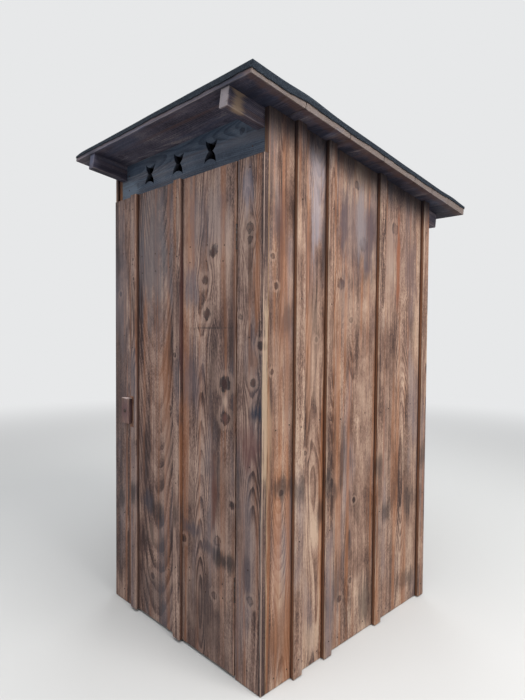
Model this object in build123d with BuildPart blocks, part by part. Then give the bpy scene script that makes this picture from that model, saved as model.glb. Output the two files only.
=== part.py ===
"""Wooden outhouse with a lean-to roof: board and batten walls on a light timber frame.

Millimetres, +Z up. The front faces -Y, X runs to the right along the front, and the origin is
the centre of the footprint, on the ground.
"""
import math
import os

from build123d import *

# Body
front_width = 1000
side_depth = 1080
wall_top_front = 2033
roof_pitch = 8.0
board_thick = 25
board_arris = 1.5
ground_gap = 3
# Joints of the wall boards, from the left end of each wall as it is seen from outside
wall_joints = (172, 347, 690)
board_joint = 5
# Cover battens
batten_width = 45
side_batten_thick = 20
door_batten_thick = 18
batten_lift = 2
corner_batten_inset = 3
latch_corner_batten_inset = 14
arris = 2
# Frame
sill_height = 60
sill_width = 60
post_size = 60
front_post_width = 100
rafter_width = 40
rafter_height = 65
rafter_front_setback = 7
rafter_rear_setback = 60
rail_height = 60
rail_thick = 30
mid_rail_height = 930
header_depth = 45
header_height = 65
header_lap = 28
bearer_width = 45
# Floor
floor_thick = 25
floor_planks = 7
plank_joint = 4
# Door and its frame; drops are measured down from the wall top or the door's top
door_head_drop = 163
latch_board_width = 158
hinge_board_width = 134
latch_gap = 8
hinge_gap = 7
head_gap = 5
foot_gap = 11
running_gap = 5
middle_batten_at = 497
ledge_height = 120
ledge_thick = 25
ledge_inset = 14
lower_ledge_at = 240
upper_ledge_drop = 370
brace_width = 95
# Hinges
hinge_length = 90
lower_hinge_at = 285
upper_hinge_drop = 310
knuckle_radius = 3
pin_radius = 1.5
pin_play = 0.05
knuckle_play = 0.5
leaf_thick = 1.6
leaf_reach = 22
knuckle_proud = 1
# Turn button
button_at = 124
button_height = 905
button_length = 116
button_width = 60
button_thick = 18
washer_thick = 4
washer_radius = 14
screw_radius = 3
screw_head_radius = 8
screw_head_thick = 3
seat_play = 0.3
# Panel over the door and its cut-outs
panel_thick = 20
cutout_count = 3
cutout_pitch = 212
cutout_offset = -30
cutout_height = 86
cutout_width = 70
cutout_waist = 25
cutout_web = 58
cutout_bulge = 4
cutout_tilt = 6
cutout_drop = 80
# Roof
deck_thick = 40
deck_joints = (108, 358, 582, 823, 972, 1126)
deck_joint = 3
front_overhang = 142
rear_overhang = 210
left_overhang = 106
right_overhang = 86
felt_thick = 3
felt_drop = 24

left = -front_width / 2
right = front_width / 2
front = -side_depth / 2
rear = side_depth / 2
inner_left = left + board_thick
inner_right = right - board_thick
cover_back = front + board_thick
inner_rear = rear - board_thick
slope = math.radians(roof_pitch)

door_top = wall_top_front - door_head_drop
door_left = left + latch_board_width + latch_gap
door_right = right - hinge_board_width - hinge_gap
hinge_x = door_right + hinge_gap / 2
hinge_y = front - knuckle_proud
hinge_heights = (lower_hinge_at, door_top - upper_hinge_drop)
upper_ledge_at = door_top - upper_ledge_drop
door_batten_left = (door_left, door_left + batten_width)
door_batten_middle = (left + middle_batten_at, left + middle_batten_at + batten_width)

soffit = Plane(
    origin=(0, front, wall_top_front),
    x_dir=(1, 0, 0),
    z_dir=(0, math.sin(slope), math.cos(slope)),
)
under_rafters = soffit.offset(-rafter_height)
roof_front = -front_overhang / math.cos(slope)
roof_rear = (side_depth + rear_overhang) / math.cos(slope)
roof_left = left - left_overhang
roof_right = right + right_overhang

os.makedirs("parts", exist_ok=True)


def soffit_height(y):
    """Height of the underside of the roof deck at a depth y."""
    return wall_top_front - (y - front) * math.tan(slope)


def squared(*timbers, plane=Plane.XY, cut_by=None, ease=0, taken_out=()):
    """Squared timbers as one node: each is an (x, y, z) triple of spans on the given plane.

    cut_by keeps what lies under a plane, ease chamfers the upright edges, and taken_out
    lists the pieces whose room is cut away.
    """
    with BuildPart() as piece:
        for x, y, z in timbers:
            with BuildSketch(plane.offset(z[0])):
                with Locations(((x[0] + x[1]) / 2, (y[0] + y[1]) / 2)):
                    Rectangle(x[1] - x[0], y[1] - y[0])
            extrude(amount=z[1] - z[0])
        if ease:
            chamfer(piece.edges().filter_by(Axis.Z), ease)
        if cut_by:
            split(bisect_by=cut_by, keep=Keep.BOTTOM)
        for other in taken_out:
            add(other.part, mode=Mode.SUBTRACT)
    return piece


def write(piece, name):
    """Label a finished piece and write it under its node name."""
    piece.part.label = name
    export_step(piece.part, f"parts/{name}.step")


# Base frame: sills on the ground, a middle bearer and the floor planks
side_sills = {
    "sill_left": (inner_left, inner_left + sill_width),
    "sill_right": (inner_right - sill_width, inner_right),
}
for name, x_span in side_sills.items():
    write(squared((x_span, (cover_back, inner_rear), (0, sill_height))), name)

between_sills = (inner_left + sill_width, inner_right - sill_width)
front_sill_span = (cover_back + running_gap, cover_back + running_gap + sill_width)
rear_sill_span = (inner_rear - sill_width, inner_rear)
write(squared((between_sills, front_sill_span, (0, sill_height))), "sill_front")
write(squared((between_sills, rear_sill_span, (0, sill_height))), "sill_rear")
bearer = squared(
    (
        (-bearer_width / 2, bearer_width / 2),
        (front_sill_span[1], rear_sill_span[0]),
        (0, sill_height),
    )
)
write(bearer, "floor_bearer")

# Rafters: under the whole deck but for a step back at each end, lower edges eased
rafters = {
    "rafter_left": (inner_left, inner_left + rafter_width),
    "rafter_right": (inner_right - rafter_width, inner_right),
}
rafter_ends = (roof_front + rafter_front_setback, roof_rear - rafter_rear_setback)
rafter_pieces = []
for name, x_span in rafters.items():
    with BuildPart() as rafter:
        with BuildSketch(soffit):
            with Locations(((x_span[0] + x_span[1]) / 2, (rafter_ends[0] + rafter_ends[1]) / 2)):
                Rectangle(rafter_width, rafter_ends[1] - rafter_ends[0])
        extrude(amount=-rafter_height)
        long_edges = rafter.edges().filter_by(Axis((0, 0, 0), soffit.y_dir))
        chamfer(long_edges.sort_by(Axis.Z)[:2], arris)
    rafter_pieces.append(rafter)
    write(rafter, name)

# Panel over the door, cut round the rafters, with its three cut-outs
panel_bottom = door_top + head_gap
panel_back = cover_back + panel_thick
with BuildPart() as panel:
    with BuildSketch(Plane.XZ.offset(-cover_back)):
        with Locations((0, (panel_bottom + wall_top_front) / 2)):
            Rectangle(inner_right - inner_left, wall_top_front - panel_bottom)
        first_cutout = cutout_offset - cutout_pitch * (cutout_count - 1) / 2
        tip_x = cutout_width / 2
        waist_x = cutout_waist / 2
        side_x = (tip_x + waist_x) / 2 + cutout_bulge
        for number in range(cutout_count):
            with BuildSketch(mode=Mode.PRIVATE) as hourglass:
                with BuildLine():
                    for up in (1, -1):
                        tip_y = up * cutout_height / 2
                        side_y = tip_y / 2 - up * cutout_bulge
                        ThreePointArc((-tip_x, tip_y), (0, up * cutout_web / 2), (tip_x, tip_y))
                        ThreePointArc((-tip_x, tip_y), (-side_x, side_y), (-waist_x, 0))
                        ThreePointArc((tip_x, tip_y), (side_x, side_y), (waist_x, 0))
                make_face()
            with Locations((first_cutout + number * cutout_pitch, wall_top_front - cutout_drop)):
                add(hourglass.sketch, rotation=-cutout_tilt, mode=Mode.SUBTRACT)
    extrude(amount=-panel_thick)
    split(bisect_by=soffit, keep=Keep.BOTTOM)
    for rafter in rafter_pieces:
        add(rafter.part, mode=Mode.SUBTRACT)
write(panel, "upper_front_panel")

# Corner posts under the rafters; the front pair is notched for the panel
floor_top = sill_height + floor_thick
posts = {
    "post_front_left": ((inner_left, inner_left + front_post_width), cover_back),
    "post_front_right": ((inner_right - front_post_width, inner_right), cover_back),
    "post_rear_left": ((inner_left, inner_left + post_size), inner_rear - post_size),
    "post_rear_right": ((inner_right - post_size, inner_right), inner_rear - post_size),
}
post_pieces = []
panel_notch = squared(
    (
        (inner_left, inner_right),
        (cover_back, panel_back),
        (panel_bottom, wall_top_front),
    )
)
for name, (x_span, y_start) in posts.items():
    post = squared(
        (x_span, (y_start, y_start + post_size), (sill_height, wall_top_front)),
        cut_by=under_rafters,
        taken_out=[panel_notch],
    )
    post_pieces.append(post)
    write(post, name)

# Header behind the panel, rear top rail and middle rails, all between the posts
front_bay = (inner_left + front_post_width, inner_right - front_post_width)
rear_bay = (inner_left + post_size, inner_right - post_size)
side_bay = (cover_back + post_size, inner_rear - post_size)
header_top = panel_bottom + header_lap
header_span = (header_top - header_height, header_top)
write(squared((front_bay, (panel_back, panel_back + header_depth), header_span)), "door_header")
rear_rail_top = soffit_height(inner_rear) - rafter_height / math.cos(slope)
rear_rail_face = (inner_rear - rail_thick, inner_rear)
rear_rail_span = (rear_rail_top - rail_height, rear_rail_top)
write(squared((rear_bay, rear_rail_face, rear_rail_span)), "rear_top_rail")
rail_span = (mid_rail_height - rail_height / 2, mid_rail_height + rail_height / 2)
mid_rails = squared(
    ((inner_left, inner_left + rail_thick), side_bay, rail_span),
    ((inner_right - rail_thick, inner_right), side_bay, rail_span),
    (rear_bay, rear_rail_face, rail_span),
)
write(mid_rails, "mid_rails")

# Floor planks across the sills, notched round the posts
plank_pitch = (inner_rear - front_sill_span[0] + plank_joint) / floor_planks
planks = []
for number in range(floor_planks):
    plank_start = front_sill_span[0] + number * plank_pitch
    plank_y = (plank_start, plank_start + plank_pitch - plank_joint)
    planks.append(((inner_left, inner_right), plank_y, (sill_height, floor_top)))
write(squared(*planks, taken_out=post_pieces), "floor_planks")

# Side walls: boards between the front boards and the rear boards, battens over the joints.
# Each wall is laid out from its left end, seen from outside, and has a corner batten at its right.


def wall_lines(joints, length):
    """Start and end of each board of a wall, with the joint gaps out."""
    marks = [0, *joints, length]
    gap = board_joint / 2
    spans = []
    for number in range(len(marks) - 1):
        low = marks[number] + (gap if number else 0)
        high = marks[number + 1] - (gap if number + 2 < len(marks) else 0)
        spans.append((low, high))
    return spans


def batten_lines(joints, length, inset=corner_batten_inset):
    """Start and end of each cover batten: one centred on each joint and one at the far corner."""
    spans = [(joint - batten_width / 2, joint + batten_width / 2) for joint in joints]
    corner_end = length - inset
    spans.append((corner_end - batten_width, corner_end))
    return spans


def laid(span, start, direction=1):
    """A span measured along a wall from its start, turned into a span on the model's axis."""
    ends = (start + direction * span[0], start + direction * span[1])
    return (min(ends), max(ends))


board_span_z = (ground_gap, wall_top_front)
batten_span_z = (ground_gap + batten_lift, wall_top_front)
side_board_joints = [joint - board_thick for joint in wall_joints]
side_boards = wall_lines(side_board_joints, side_depth - 2 * board_thick)
right_battens = batten_lines(wall_joints, side_depth)
left_battens = batten_lines(wall_joints, side_depth, latch_corner_batten_inset)
side_walls = {
    "right": (1, (inner_right, right), (right, right + side_batten_thick), right_battens),
    "left": (-1, (left, inner_left), (left - side_batten_thick, left), left_battens),
}
for side, (direction, board_x, batten_x, lines) in side_walls.items():
    boards_from = cover_back if direction > 0 else inner_rear
    battens_from = front if direction > 0 else rear
    for number, line in enumerate(side_boards, start=1):
        board = squared(
            (board_x, laid(line, boards_from, direction), board_span_z),
            cut_by=soffit,
            ease=board_arris,
        )
        write(board, f"{side}_board_{number}")
    battens = [(batten_x, laid(line, battens_from, direction), batten_span_z) for line in lines]
    write(squared(*battens, cut_by=soffit, ease=arris), f"{side}_battens")

# Rear wall: boards over the ends of the side boards, cut round the rafters
for number, line in enumerate(wall_lines(wall_joints, front_width), start=1):
    board = squared(
        (laid(line, right, -1), (inner_rear, rear), board_span_z),
        cut_by=soffit,
        ease=board_arris,
        taken_out=rafter_pieces,
    )
    write(board, f"rear_board_{number}")
rear_battens = [
    (laid(line, right, -1), (rear, rear + side_batten_thick), batten_span_z)
    for line in batten_lines(wall_joints, front_width)
]
write(squared(*rear_battens, cut_by=soffit, ease=arris, taken_out=rafter_pieces), "rear_battens")

# Fixed front boards beside the door
front_face = (front, cover_back)
fixed_boards = {
    "front_board_left": (left, left + latch_board_width),
    "front_board_right": (right - hinge_board_width, right),
}
for name, x_span in fixed_boards.items():
    write(squared((x_span, front_face, (ground_gap, door_top)), ease=board_arris), name)

# Door: two wide boards, a cover batten on the joint and one on the free edge, ledges and brace
door_joint = (door_batten_middle[0] + door_batten_middle[1]) / 2
door_height = (foot_gap, door_top)
door_boards = {
    "door_board_left": (door_left, door_joint - board_joint / 2),
    "door_board_right": (door_joint + board_joint / 2, door_right),
}
for name, x_span in door_boards.items():
    write(squared((x_span, front_face, door_height), ease=board_arris), name)
batten_face = (front - door_batten_thick, front)
batten_height = (foot_gap + batten_lift, door_top)
write(squared((door_batten_middle, batten_face, batten_height), ease=arris), "door_batten_middle")
button_sweep = math.hypot(button_length, button_width) / 2 + running_gap
button_x = left + button_at
button_notch = squared(
    (
        (door_left, button_x + button_sweep),
        batten_face,
        (button_height - button_sweep, button_height + button_sweep),
    )
)
edge_batten = squared(
    (door_batten_left, batten_face, batten_height), ease=arris, taken_out=[button_notch]
)
write(edge_batten, "door_batten_edge")

ledge_x = (door_left + ledge_inset, door_right - ledge_inset)
ledge_face = (cover_back, cover_back + ledge_thick)
ledges = squared(
    (ledge_x, ledge_face, (lower_ledge_at, lower_ledge_at + ledge_height)),
    (ledge_x, ledge_face, (upper_ledge_at, upper_ledge_at + ledge_height)),
)
write(ledges, "door_ledges")
with BuildPart() as brace:
    with BuildSketch(Plane.XZ.offset(-cover_back)):
        with BuildLine():
            brace_foot = lower_ledge_at + ledge_height
            Polyline(
                (ledge_x[1], brace_foot),
                (ledge_x[1] - brace_width, brace_foot),
                (ledge_x[0], upper_ledge_at),
                (ledge_x[0] + brace_width, upper_ledge_at),
                close=True,
            )
        make_face()
    extrude(amount=-ledge_thick)
write(brace, "door_brace")

# Butt hinges in the gap: a leaf on each edge, the pin fixed in the outer knuckles
knuckle_length = hinge_length / 3
outer_knuckles = (
    (0, knuckle_length - knuckle_play),
    (2 * knuckle_length + knuckle_play, hinge_length),
)
middle_knuckle = ((knuckle_length, 2 * knuckle_length),)


def hinge_leaves(knuckles, edge_x, side, with_pin):
    """The hinge leaves on one edge, with their knuckles as (low, high) pairs up each leaf."""
    leaf_x = edge_x + side * leaf_thick / 2
    with BuildPart() as leaves:
        for bottom in hinge_heights:
            with BuildSketch(Plane.XY.offset(bottom)):
                with Locations((leaf_x, hinge_y + leaf_reach / 2)):
                    Rectangle(leaf_thick, leaf_reach)
            extrude(amount=hinge_length)
            with BuildSketch(Plane.XY.offset(bottom)):
                with Locations((hinge_x, hinge_y)):
                    Circle(knuckle_radius + knuckle_play)
            extrude(amount=hinge_length, mode=Mode.SUBTRACT)
            for low, high in knuckles:
                with BuildSketch(Plane.XY.offset(bottom + low)):
                    with Locations((leaf_x, hinge_y + knuckle_radius / 2)):
                        Rectangle(leaf_thick, knuckle_radius)
                    with Locations((hinge_x, hinge_y)):
                        Circle(knuckle_radius)
                extrude(amount=high - low)
            with BuildSketch(Plane.XY.offset(bottom)):
                with Locations((hinge_x, hinge_y)):
                    Circle(pin_radius if with_pin else pin_radius + pin_play)
            extrude(amount=hinge_length, mode=Mode.ADD if with_pin else Mode.SUBTRACT)
    return leaves


post_edge = right - hinge_board_width
write(hinge_leaves(outer_knuckles, post_edge, -1, True), "hinge_fixed_leaves")
write(hinge_leaves(middle_knuckle, door_right, 1, False), "hinge_moving_leaves")

# Turn button on its washer and pivot screw
button_back = front - washer_thick - seat_play
button_front = button_back - button_thick
pivot = Plane.XZ.offset(-front)
with BuildPart() as button:
    with BuildSketch(Plane.XZ.offset(-button_back)):
        with Locations((button_x, button_height)):
            Rectangle(button_width, button_length)
            Circle(screw_radius + pin_play, mode=Mode.SUBTRACT)
    extrude(amount=button_thick)
    chamfer(button.faces().sort_by(Axis.Y)[0].outer_wire().edges(), arris)
write(button, "turn_button")
with BuildPart() as screw:
    with BuildSketch(pivot):
        with Locations((button_x, button_height)):
            Circle(washer_radius)
    extrude(amount=washer_thick)
    with BuildSketch(pivot):
        with Locations((button_x, button_height)):
            Circle(screw_radius)
    extrude(amount=front - button_front + seat_play)
    with BuildSketch(Plane.XZ.offset(seat_play - button_front)):
        with Locations((button_x, button_height)):
            Circle(screw_head_radius)
    extrude(amount=screw_head_thick)
    chamfer(screw.faces().sort_by(Axis.Y)[0].edges(), 1)
write(screw, "turn_button_pivot")

# Roof deck of wide boards and the bitumen felt folded down over its edges
deck_marks = [roof_front, *(joint / math.cos(slope) for joint in deck_joints), roof_rear]
deck = []
for number in range(len(deck_marks) - 1):
    board_start = deck_marks[number] + (deck_joint if number else 0)
    deck.append(((roof_left, roof_right), (board_start, deck_marks[number + 1]), (0, deck_thick)))
write(squared(*deck, plane=soffit), "roof_deck")
with BuildPart() as felt:
    roof_mid = ((roof_left + roof_right) / 2, (roof_front + roof_rear) / 2)
    roof_width = roof_right - roof_left
    roof_length = roof_rear - roof_front
    with BuildSketch(soffit.offset(deck_thick + felt_thick)):
        with Locations(roof_mid):
            Rectangle(roof_width + 2 * felt_thick, roof_length + 2 * felt_thick)
    extrude(amount=-felt_drop - felt_thick)
    with BuildSketch(soffit.offset(deck_thick)):
        with Locations(roof_mid):
            Rectangle(roof_width, roof_length)
    extrude(amount=-felt_drop, mode=Mode.SUBTRACT)
write(felt, "roof_felt")
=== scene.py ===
"""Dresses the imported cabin: stained boards, felt, nails, camera and light.

Metres, +Z up. The front faces -Y and X runs to the right along the front, as in the frame.
"""
import logging
import math
import random
from collections.abc import Callable
from dataclasses import dataclass, field
from enum import Enum

import bpy
from mathutils import Matrix, Vector


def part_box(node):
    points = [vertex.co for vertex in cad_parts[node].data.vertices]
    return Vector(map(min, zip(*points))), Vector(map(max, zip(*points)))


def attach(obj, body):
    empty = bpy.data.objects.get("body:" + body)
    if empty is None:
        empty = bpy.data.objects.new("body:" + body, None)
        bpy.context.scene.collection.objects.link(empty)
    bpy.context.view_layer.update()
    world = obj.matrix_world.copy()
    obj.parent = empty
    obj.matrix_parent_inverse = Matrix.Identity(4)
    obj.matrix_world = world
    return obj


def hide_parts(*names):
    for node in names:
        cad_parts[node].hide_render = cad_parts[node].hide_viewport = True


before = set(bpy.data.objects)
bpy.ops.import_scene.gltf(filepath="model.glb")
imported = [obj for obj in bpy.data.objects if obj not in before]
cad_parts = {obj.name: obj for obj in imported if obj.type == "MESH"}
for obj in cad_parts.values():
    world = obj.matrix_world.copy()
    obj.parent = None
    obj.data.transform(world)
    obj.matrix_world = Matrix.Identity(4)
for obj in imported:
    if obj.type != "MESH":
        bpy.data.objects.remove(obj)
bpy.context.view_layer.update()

logging.basicConfig(level=logging.INFO, format="%(message)s")
log = logging.getLogger("cabin")

Colour = tuple[float, float, float]
Place = tuple[float, float, float]
Span = tuple[float, float]

ROOF_PITCH = math.radians(8.0)
EAVES_LEVEL = 1.938
SMALLEST_GAP = 0.0005


def shade(red: float, green: float, blue: float) -> Colour:
    """A screen colour, 0 to 255 a channel, as the linear light that a shader socket takes."""
    screen = (red / 255, green / 255, blue / 255)
    return tuple(part / 12.92 if part <= 0.04045 else ((part + 0.055) / 1.055) ** 2.4 for part in screen)


def arithmetic(operation: str, swapped: bool = False) -> Callable[..., "Signal"]:
    """Makes the method that adds a Math node, or a Vector Math node where a value is a vector.

    Args:
        operation: The node's operation.
        swapped: Whether the other value comes first.

    Returns:
        The method, which takes the other value if the operation has one.
    """
    def method(signal: "Signal", *others: object) -> "Signal":
        """Adds the node.

        Args:
            signal: The value that the method belongs to.
            *others: The other value, if the operation has one.

        Returns:
            The node's result.
        """
        values = (*others, signal) if swapped else (signal, *others)
        wide = any(signal.graph.is_vector(value) for value in values)
        kind = "ShaderNodeVectorMath" if wide else "ShaderNodeMath"
        return signal.graph.node(kind, {"operation": operation}, dict(enumerate(values)))

    return method


class Signal:
    """A node's output that takes part in arithmetic."""

    __add__ = arithmetic("ADD")
    __radd__ = arithmetic("ADD", swapped=True)
    __sub__ = arithmetic("SUBTRACT")
    __rsub__ = arithmetic("SUBTRACT", swapped=True)
    __mul__ = arithmetic("MULTIPLY")
    __rmul__ = arithmetic("MULTIPLY", swapped=True)
    __truediv__ = arithmetic("DIVIDE")
    __abs__ = arithmetic("ABSOLUTE")
    fraction = arithmetic("FRACT")
    root = arithmetic("SQRT")
    exponential = arithmetic("EXPONENT")
    above = arithmetic("GREATER_THAN")
    least = arithmetic("MINIMUM")
    most = arithmetic("MAXIMUM")

    def __init__(self, graph: "Graph", socket: bpy.types.NodeSocket) -> None:
        """Keeps the graph that the socket belongs to, and the socket."""
        self.graph = graph
        self.socket = socket

    def squared_length(self) -> "Signal":
        """The square of this vector's length."""
        sockets = {0: self, 1: self}
        return self.graph.node("ShaderNodeVectorMath", {"operation": "DOT_PRODUCT"}, sockets, "Value")

    def rise(self, low: float, high: float) -> "Signal":
        """0 below low and 1 above high, with a smooth step between."""
        sockets = {"Value": self, "From Min": low, "From Max": high}
        return self.graph.node("ShaderNodeMapRange", {"interpolation_type": "SMOOTHSTEP"}, sockets)

    def other(self, output: int | str) -> "Signal":
        """Another output of the same node."""
        return Signal(self.graph, self.socket.node.outputs[output])

    def axes(self) -> tuple["Signal", "Signal", "Signal"]:
        """This vector's three numbers."""
        first = self.graph.node("ShaderNodeSeparateXYZ", {}, {0: self})
        return first, first.other(1), first.other(2)


class Graph:
    """A node tree, with the calls that add to it."""

    def __init__(self, tree: bpy.types.NodeTree) -> None:
        """Empties the tree."""
        self.tree = tree
        self.tree.nodes.clear()

    @staticmethod
    def is_vector(value: object) -> bool:
        """Tells whether a value has three numbers.

        Args:
            value: A signal or a constant.

        Returns:
            Whether it has.
        """
        if isinstance(value, Signal):
            return value.socket.type in ("VECTOR", "RGBA")
        return isinstance(value, (tuple, list, Vector))

    def node(self, kind: str, settings: dict, sockets: dict, output: int | str = 0) -> Signal:
        """Adds a node.

        Args:
            kind: The node's type.
            settings: Its settings, a ramp's stops among them, set before its sockets.
            sockets: Its sockets' values or links, by name or number.
            output: The output to return.

        Returns:
            The chosen output.
        """
        node = self.tree.nodes.new(kind)
        for name, value in settings.items():
            if name == "stops":
                self._set_stops(node.color_ramp.elements, value)
            else:
                setattr(node, name, value)
        for name, value in sockets.items():
            self._feed(node.inputs[name], value)
        return Signal(self, node.outputs[output])

    @staticmethod
    def _set_stops(elements: bpy.types.ColorRampElements, stops: dict[float, Colour]) -> None:
        """Gives a colour ramp its stops.

        Args:
            elements: The ramp's elements.
            stops: Its colours, by position.
        """
        while len(elements) < len(stops):
            elements.new(1.0)
        for element, (position, colour) in zip(elements, stops.items()):
            element.position = position
            element.color = (*colour, 1.0)

    def _feed(self, socket: bpy.types.NodeSocket, value: object) -> None:
        """Links a signal to a socket, or sets a constant on it.

        Args:
            socket: The socket.
            value: A signal or a constant, where one number stands for three alike.
        """
        if isinstance(value, Signal):
            self.tree.links.new(value.socket, socket)
        elif socket.type == "RGBA":
            socket.default_value = (*value, 1.0)
        elif socket.type == "VECTOR" and not self.is_vector(value):
            socket.default_value = (value, value, value)
        else:
            socket.default_value = value

    def position(self, tilt: float = 0.0) -> Signal:
        """The point on the piece, in the frame's metres.

        Args:
            tilt: The angle about X that it is turned by.

        Returns:
            The point.
        """
        place = self.node("ShaderNodeTexCoord", {}, {}, "Object")
        sockets = {"Vector": place, "Rotation": (tilt, 0.0, 0.0)}
        return self.node("ShaderNodeMapping", {"vector_type": "POINT"}, sockets) if tilt else place

    def vector(self, x: object, y: object, z: object) -> Signal:
        """Three numbers as one vector."""
        return self.node("ShaderNodeCombineXYZ", {}, {0: x, 1: y, 2: z})

    def noise(self, place: Signal, detail: float = 2.0, rough: float = 0.5) -> Signal:
        """Smooth noise from 0 to 1 at a scaled place, with finer layers as many and as strong as given."""
        sockets = {"Vector": place, "Scale": 1.0, "Detail": detail, "Roughness": rough}
        return self.node("ShaderNodeTexNoise", {"noise_dimensions": "3D"}, sockets)

    def mix(self, share: object, first: object, second: object) -> Signal:
        """The first colour where the share is 0, blending to the second where it is 1."""
        settings = {"data_type": "RGBA", "blend_type": "MIX"}
        return self.node("ShaderNodeMix", settings, {0: share, 6: first, 7: second}, 2)

    def surface(self, height: Signal, relief: float, **sockets: object) -> None:
        """Ends the tree in a principled surface.

        Args:
            height: The relief, in units of relief.
            relief: What a height of 1 is in metres.
            **sockets: The surface's sockets, with _ for each space.
        """
        named = {name.replace("_", " "): value for name, value in sockets.items()}
        bump = {"Height": height, "Distance": relief, "Strength": 1.0}
        named["Normal"] = self.node("ShaderNodeBump", {}, bump)
        self.end(self.node("ShaderNodeBsdfPrincipled", {}, named))

    def end(self, shader: Signal, kind: str = "ShaderNodeOutputMaterial") -> None:
        """Ends the tree in a shader, on an output node of this kind."""
        self.tree.links.new(shader.socket, self.tree.nodes.new(kind).inputs["Surface"])


def new_material(name: str) -> tuple[bpy.types.Material, Graph]:
    """Makes an empty node material.

    Args:
        name: Its name.

    Returns:
        The material, and the graph that builds it.
    """
    material = bpy.data.materials.new(name)
    material.use_nodes = True
    return material, Graph(material.node_tree)


class Lay(Enum):
    """How a timber lies: its axes across the face, into it and along the grain."""

    FRONT_UPRIGHT = (0, 1, 2)
    SIDE_UPRIGHT = (1, 0, 2)
    FRONT_LEVEL = (2, 1, 0)
    FLAT_ACROSS = (1, 2, 0)
    FLAT_ALONG = (0, 2, 1)


@dataclass(frozen=True)
class Knot:
    """A knot: its place on the face and half its width, in metres, and how dark its heart is."""

    across: float
    along: float
    radius: float
    dark: float = 0.5


@dataclass(frozen=True)
class Smudge:
    """A soft patch of scorched, worn or greyed stain, or of painted light or shade, in metres."""

    across: float
    along: float
    width: float
    length: float
    colour: Colour
    strength: float = 0.6


@dataclass(frozen=True)
class Stain:
    """The colours of one kind of finished timber."""

    deep: Colour
    dark: Colour
    body: Colour
    pale: Colour
    worn: Colour
    cool: Colour
    warm: Colour
    edge: Colour
    soot: Colour = shade(38, 34, 38)
    knot: Colour = shade(66, 38, 36)
    core: Colour = shade(30, 26, 30)
    raw: Colour = shade(206, 178, 140)
    raw_dark: Colour = shade(146, 112, 76)
    # Painted shade: the dark, cool colour laid under the roof for the eaves' shadow.
    under_roof_shade: Colour = shade(30, 34, 46)
    roughness: float = 0.6
    contrast: float = 1.0


# A little darker and greyer than the side walls' stain: partly the wood's own stain, partly painted shade
# for the front lying in shade.
FRONT_STAIN_AND_SHADE = Stain(
    deep=shade(56, 42, 42), dark=shade(98, 76, 70), body=shade(142, 114, 103), pale=shade(174, 146, 132),
    worn=shade(196, 166, 150), cool=shade(120, 113, 119), warm=shade(166, 110, 76), edge=shade(80, 62, 58),
)
SIDE_STAIN = Stain(
    deep=shade(64, 46, 42), dark=shade(108, 82, 71), body=shade(149, 118, 102), pale=shade(182, 152, 133),
    worn=shade(204, 176, 154), cool=shade(142, 130, 132), warm=shade(172, 112, 72), edge=shade(128, 88, 64),
    roughness=0.55,
)
# Darker and bluer than the front's stain: partly the panel's own stain, partly painted shade for its place
# under the roof.
PANEL_STAIN_AND_SHADE = Stain(
    deep=shade(36, 42, 54), dark=shade(52, 62, 78), body=shade(70, 81, 98), pale=shade(90, 101, 117),
    worn=shade(112, 117, 128), cool=shade(62, 81, 106), warm=shade(86, 79, 84), edge=shade(48, 52, 62),
    soot=shade(36, 40, 56), knot=shade(46, 46, 60), core=shade(34, 36, 46), contrast=0.8,
)
# Darker and bluer than the walls' stain: partly the roof timber's own stain, partly painted shade for its
# place under the roof.
ROOF_STAIN_AND_SHADE = Stain(
    deep=shade(48, 44, 56), dark=shade(68, 64, 78), body=shade(90, 86, 102), pale=shade(112, 106, 118),
    worn=shade(150, 138, 138), cool=shade(76, 88, 116), warm=shade(112, 86, 80), edge=shade(94, 86, 92),
    soot=shade(36, 40, 54), knot=shade(66, 56, 66), core=shade(40, 36, 44), contrast=0.9,
)
FRAME_STAIN = Stain(
    deep=shade(126, 92, 60), dark=shade(158, 120, 82), body=shade(188, 154, 114), pale=shade(206, 176, 138),
    worn=shade(212, 184, 146), cool=shade(178, 158, 132), warm=shade(196, 150, 100),
    edge=shade(184, 148, 108), soot=shade(112, 86, 62), knot=shade(138, 92, 58), core=shade(96, 66, 46),
    contrast=0.7,
)


@dataclass(frozen=True)
class Spot:
    """Where each point lies on its timber, as signals in metres.

    Across is measured from its middle, into from its face and along with its grain. Lane is the
    timber's number in its node, flat is across and along, and place is the seeded place.
    """

    graph: Graph
    across: Signal
    into: Signal
    along: Signal
    lane: Signal
    flat: Signal
    place: Signal

    def noise(
        self, cross: float, length: float, detail: float = 2.0, rough: float = 0.5,
        shift: Place | None = None,
    ) -> Signal:
        """Smooth noise drawn out along the grain, about 0.5 on average.

        Args:
            cross: How fine it is across the grain, in waves a metre.
            length: How fine it is along the grain.
            detail: How many finer layers it has.
            rough: How strong the finer layers are.
            shift: Where its pattern starts, if not at the origin.

        Returns:
            A number from 0 to 1.
        """
        place = self.place * (cross, cross, length)
        return self.graph.noise(place if shift is None else place + shift, detail, rough)

    def away(self, mark: Knot | Smudge, wide: float, long: float) -> Signal:
        """The squared distance from a mark, where wide across and long along it count as 1."""
        return ((self.flat - (mark.across, mark.along, 0.0)) * (1 / wide, 1 / long, 0.0)).squared_length()


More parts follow.
